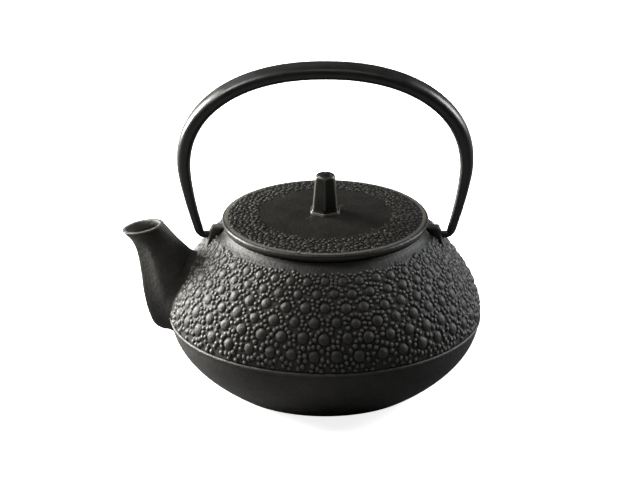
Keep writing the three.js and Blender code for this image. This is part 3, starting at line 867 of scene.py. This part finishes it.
def make_infuser(steel):
    flange = reach_mm("infuser_rim")
    bead = 0.6
    profile = [(COLLAR_RADIUS - SHEET, COLLAR_Z), (COLLAR_RADIUS - 0.05, COLLAR_Z)]
    profile.append((COLLAR_RADIUS, COLLAR_Z + 0.1))
    profile += arc((COLLAR_RADIUS + 0.5, FLANGE_Z - 0.5), 0.5, 180, 90, 5)
    profile += arc((flange - bead, FLANGE_Z + bead), bead, -90, 150, 14)
    profile += [(flange - 2 * bead - 0.2, FLANGE_Z + SHEET), (COLLAR_RADIUS + 0.4, FLANGE_Z + SHEET)]
    profile += arc((COLLAR_RADIUS + 0.4, FLANGE_Z - 0.4), 1.0, 90, 180, 6)
    rim = solid("basket_flange", *skin(lathe(profile, 192), joined=True))
    place(rim, "infuser", "infuser_rim", "stainless", [steel])

    wall = solid("basket_screen", *woven_wall())
    place(wall, "infuser", "infuser_mesh_wall", "stainless", [steel], crease=80)
    floor = solid("basket_floor", *woven_floor(CUP_Z + SHEET + 0.5))
    place(floor, "infuser", "infuser_base_screen", "stainless", [steel], crease=80)

    inner = CUP_RADIUS - SHEET
    cup = [(CUP_RADIUS - 5.6, CUP_Z)] + arc((CUP_RADIUS - 0.8, CUP_Z + 0.8), 0.8, -90, 0, 7)
    cup += arc((CUP_RADIUS - 0.3, CUP_TOP - 0.3), 0.3, 0, 180, 7) + [(inner, CUP_Z + 1.1)]
    cup += [(inner - 0.5, CUP_Z + SHEET), (CUP_RADIUS - 5.6, CUP_Z + SHEET)]
    ring = solid("basket_cup", *skin(lathe(cup, 192), joined=True))
    place(ring, "infuser", "infuser_base_cup", "stainless", [steel])

    make_lap_strip(steel)


def make_lap_strip(steel):
    """The strip over the wall's lap on the +Y side, dimpled by its row of spot welds."""
    low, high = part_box("infuser_seam_strip")
    r = high.y / MM - 0.5
    half = (high.x - low.x) / 2 / MM / r
    z = np.linspace(low.z / MM, high.z / MM, 70)
    theta = np.linspace(-half, half, 24)
    weld = (z - z[0]) / (z[-1] - z[0]) * 5
    dimple = 0.22 * np.exp(-(((weld % 1) - 0.5) ** 2)[:, None] * 90 - (theta * r)[None, :] ** 2 * 2.5)
    skins = []
    for offset, angles in ((0.5 - dimple, theta), (0 * dimple, theta[::-1])):
        radius = r + offset
        x, y = radius * np.sin(angles), radius * np.cos(angles)
        skins.append(np.stack([x, y, z[:, None] + 0 * angles], -1))
    strip = solid("basket_lap_strip", *skin(np.concatenate(skins, 1)))
    place(strip, "infuser", "infuser_seam_strip", "stainless", [steel])


# ---------------------------------------------------------------- materials

IRON_DARK = (0.011, 0.0107, 0.0093)
IRON_LIGHT = (0.018, 0.0172, 0.0148)


class Nodes:
    """A material's node tree, with texture sizes in millimetres on the piece itself."""

    def __init__(self, name):
        self.material = bpy.data.materials.new(name)
        self.material.use_nodes = True
        self.tree = self.material.node_tree
        self.shader = self.tree.nodes["Principled BSDF"]
        self.place = self.tree.nodes.new("ShaderNodeTexCoord").outputs["Object"]

    def node(self, kind, inputs=None, **settings):
        made = self.tree.nodes.new("ShaderNode" + kind)
        for name, value in settings.items():
            setattr(made, name, value)
        for name, value in (inputs or {}).items():
            if isinstance(value, bpy.types.NodeSocket):
                self.tree.links.new(value, made.inputs[name])
            else:
                made.inputs[name].default_value = value
        return made

    def noise(self, size, detail=2.0, roughness=0.5, place=None):
        inputs = {"Vector": place or self.place, "Scale": 1 / (size * MM)}
        inputs.update(Detail=detail, Roughness=roughness)
        return self.node("TexNoise", inputs).outputs["Fac"]

    def between(self, value, low, high, start=0.35, end=0.65):
        """A value spread over a range."""
        inputs = {"Value": value, "From Min": start, "From Max": end, "To Min": low, "To Max": high}
        return self.node("MapRange", inputs).outputs["Result"]

    def blend(self, factor, first, second):
        """A colour between two others."""
        made = self.node("Mix", data_type="RGBA")
        for socket, value in zip([made.inputs[0], made.inputs[6], made.inputs[7]], [factor, first, second]):
            if isinstance(value, bpy.types.NodeSocket):
                self.tree.links.new(value, socket)
            else:
                socket.default_value = value
        return made.outputs[2]

    def bump(self, height, depth, normal=None):
        """A bumped normal, with the depth in millimetres."""
        inputs = {"Height": height, "Distance": depth * MM, "Strength": 1.0}
        if normal:
            inputs["Normal"] = normal
        return self.node("Bump", inputs).outputs["Normal"]

    def finish(self, **inputs):
        for name, value in inputs.items():
            socket = self.shader.inputs[name.replace("_", " ")]
            if isinstance(value, bpy.types.NodeSocket):
                self.tree.links.new(value, socket)
            else:
                socket.default_value = value
        return self.material


def shaded(colour, shade):
    return [shade * c for c in colour] + [1]


def cast_iron(name, roughness, grain_depth, shade=1.0, dull=0.44, rub_and_highlight_peak=0.57, edge=(0.070, 0.067, 0.058, 1)):
    """Matt black cast iron: fine grain, faint blotches, paler edges and near-black hollows.

    The hollows are near black as painted shade, and a point that is hollower than dull has no sheen. Edges
    are paled towards the edge colour, partly by wearing and partly as a painted highlight, fully where a
    point stands out as far as the threshold after dull.
    """
    m = Nodes(name)
    blotches = m.noise(7, detail=4)
    grain = m.noise(0.5, detail=3, roughness=0.6)
    pointiness = m.node("NewGeometry").outputs["Pointiness"]
    # Edges and stud tops paled by pointiness: partly real wearing of the iron, partly a painted highlight.
    rub_and_highlight = m.between(pointiness, 0, 1, start=0.505, end=rub_and_highlight_peak)
    # Near-black hollows between the studs and beads: painted shade.
    hollow = m.between(pointiness, 1, 0, start=0.44, end=0.495)
    body = m.blend(m.between(blotches, 0, 1), shaded(IRON_DARK, shade), shaded(IRON_LIGHT, shade))
    worn_and_highlit = m.blend(rub_and_highlight, body, edge)
    return m.finish(
        # Base colour: painted shade in the hollows, over the paled edges and the blotched body.
        Base_Color=m.blend(hollow, worn_and_highlit, (0.003, 0.003, 0.0028, 1)),
        Roughness=m.between(grain, *roughness),
        Specular_IOR_Level=m.between(pointiness, 0.04, 0.55, start=dull, end=0.555),
        Normal=m.bump(grain, grain_depth, m.bump(m.noise(1.6, detail=3), 2.2 * grain_depth)),
    )


def enamel():
    """Glossy black enamel inside the pot, with slight orange peel."""
    m = Nodes("black_enamel")
    peel = m.noise(2.6, detail=2)
    colour = m.blend(m.between(m.noise(11), 0, 1), (0.012, 0.012, 0.013, 1), (0.018, 0.018, 0.019, 1))
    return m.finish(Base_Color=colour, Roughness=m.between(m.noise(4), 0.1, 0.2), Normal=m.bump(peel, 0.1))


def satin_black():
    """Satin black paint on the bail, its roughness varying a little at random."""
    m = Nodes("satin_black_paint")
    grain = m.noise(0.4, detail=3, roughness=0.6)
    wide = m.noise(9, detail=3)
    colour = m.blend(m.between(wide, 0, 1), (0.006, 0.006, 0.0056, 1), (0.009, 0.0088, 0.0083, 1))
    normal = m.bump(grain, 0.02, m.bump(m.noise(3.5, detail=2), 0.06))
    roughness = m.between(wide, 0.3, 0.4)
    return m.finish(Base_Color=colour, Roughness=roughness, Specular_IOR_Level=0.42, Normal=normal)


def brushed_steel():
    """Stainless steel, brushed round the axis."""
    m = Nodes("brushed_stainless")
    split = m.node("SeparateXYZ", {"Vector": m.place})
    flat = m.node("CombineXYZ", {"X": split.outputs["X"], "Y": split.outputs["Y"]})
    radius = m.node("VectorMath", {0: flat.outputs["Vector"]}, operation="LENGTH").outputs["Value"]
    rings = m.node("CombineXYZ", {"X": radius, "Z": split.outputs["Z"]}).outputs["Vector"]
    brushing = m.noise(0.12, detail=3, place=rings)
    colour = m.blend(m.between(m.noise(6), 0, 1), (0.56, 0.56, 0.57, 1), (0.66, 0.66, 0.67, 1))
    return m.finish(
        Base_Color=colour,
        Metallic=1.0,
        Roughness=m.between(brushing, 0.24, 0.36),
        Normal=m.bump(brushing, 0.008),
    )


def pale_paper():
    """The pale floor, lit up a little for the camera so that shadows stay faint, and dim for the object."""
    m = Nodes("pale_paper")
    paper = m.blend(m.between(m.noise(40, detail=3), 0, 1), (0.86, 0.86, 0.86, 1), (0.88, 0.88, 0.88, 1))
    seen = m.node("LightPath").outputs["Is Camera Ray"]
    return m.finish(
        Base_Color=m.blend(seen, (0.2, 0.2, 0.2, 1), paper),
        Emission_Color=(1, 1, 1, 1),
        Emission_Strength=m.between(seen, 0, 0.84, start=0, end=1),
        Roughness=0.9,
        Specular_IOR_Level=0.1,
    )


# ---------------------------------------------------------------- studio

TARGET = Vector((0, 0, 0.043))
CAMERA_DISTANCE = 4.0
CAMERA_ELEVATION = math.radians(22.43)
CAMERA_LENS = 467.3
CAMERA_SHIFT = (-0.0082, 0.0902)
WORLD_LIGHT = 0.06


def make_floor():
    steps = [-3, -1, 0, 1, 3]
    points = [(x, y, -0.0002) for y in steps for x in steps]
    faces = [[i, i + 1, i + 6, i + 5] for i in range(20) if i % 5 < 4]
    mesh = bpy.data.meshes.new("studio_floor")
    mesh.from_pydata(points, [], faces)
    mesh.materials.append(pale_paper())
    floor = bpy.data.objects.new("studio_floor", mesh)
    bpy.context.scene.collection.objects.link(floor)


def softbox(name, direction, distance, size, power, colour):
    """A square area light in a direction given as azimuth and elevation in degrees, aimed at the object."""
    azimuth, elevation = map(math.radians, direction)
    flat = math.cos(elevation)
    way = Vector((flat * math.sin(azimuth), flat * math.cos(azimuth), math.sin(elevation)))
    data = bpy.data.lights.new(name, "AREA")
    data.size = size
    data.energy = power
    data.color = colour
    lamp = bpy.data.objects.new(name, data)
    lamp.location = TARGET + way * distance
    lamp.rotation_euler = way.to_track_quat("Z", "Y").to_euler()
    bpy.context.scene.collection.objects.link(lamp)


def make_world():
    """White behind the object for the camera, and a dim even light for everything else."""
    world = bpy.data.worlds.new("studio")
    bpy.context.scene.world = world
    world.use_nodes = True
    nodes, links = world.node_tree.nodes, world.node_tree.links
    background = nodes["Background"]
    paths = nodes.new("ShaderNodeLightPath")
    strength = nodes.new("ShaderNodeMapRange")
    strength.inputs["To Min"].default_value = WORLD_LIGHT
    strength.inputs["To Max"].default_value = 1.0
    links.new(paths.outputs["Is Camera Ray"], strength.inputs["Value"])
    links.new(strength.outputs["Result"], background.inputs["Strength"])
    background.inputs["Color"].default_value = (1, 1, 1, 1)


def make_camera():
    data = bpy.data.cameras.new("studio_camera")
    data.lens = CAMERA_LENS
    data.sensor_width = 36
    data.shift_x, data.shift_y = CAMERA_SHIFT
    camera = bpy.data.objects.new("studio_camera", data)
    away = Vector((0, -math.cos(CAMERA_ELEVATION), math.sin(CAMERA_ELEVATION)))
    camera.location = TARGET + away * CAMERA_DISTANCE
    camera.rotation_euler = away.to_track_quat("Z", "Y").to_euler()
    bpy.context.scene.collection.objects.link(camera)
    bpy.context.scene.camera = camera


def make_studio():
    bpy.context.scene.view_settings.view_transform = "Standard"
    make_floor()
    make_world()
    softbox("key_left", (-63, 17), 0.9, 0.42, 42, (1.0, 0.985, 0.95))
    softbox("top_left", (-98, 52), 1.2, 0.35, 10, (1.0, 0.99, 0.97))
    softbox("rim_right", (64, 24), 1.1, 0.5, 15, (0.96, 0.98, 1.0))
    softbox("top_front", (168, 68), 1.3, 0.35, 1.6, (1.0, 1.0, 0.98))
    make_camera()


# ---------------------------------------------------------------- assembly

iron = cast_iron("sand_cast_iron", (0.48, 0.62), 0.17)
# A darker copy of the iron for the lid: painted shade on its upturned face.
lid_iron = cast_iron("lid_cast_iron", (0.36, 0.48), 0.12, shade=0.6, dull=0.48)
# A darker copy of the iron for the knob, painted shade on its faces, with much paler edges: partly wearing,
# partly a painted highlight.
smooth_iron = cast_iron(
    "smooth_cast_iron", (0.27, 0.38), 0.05, shade=0.6, dull=0.47, rub_and_highlight_peak=0.535, edge=(0.15, 0.145, 0.125, 1)
)
steel = brushed_steel()
make_pot(iron, enamel())
make_bail(satin_black())
make_lid(lid_iron)
make_knob(smooth_iron)
make_fixings(steel)
make_infuser(steel)
make_studio()
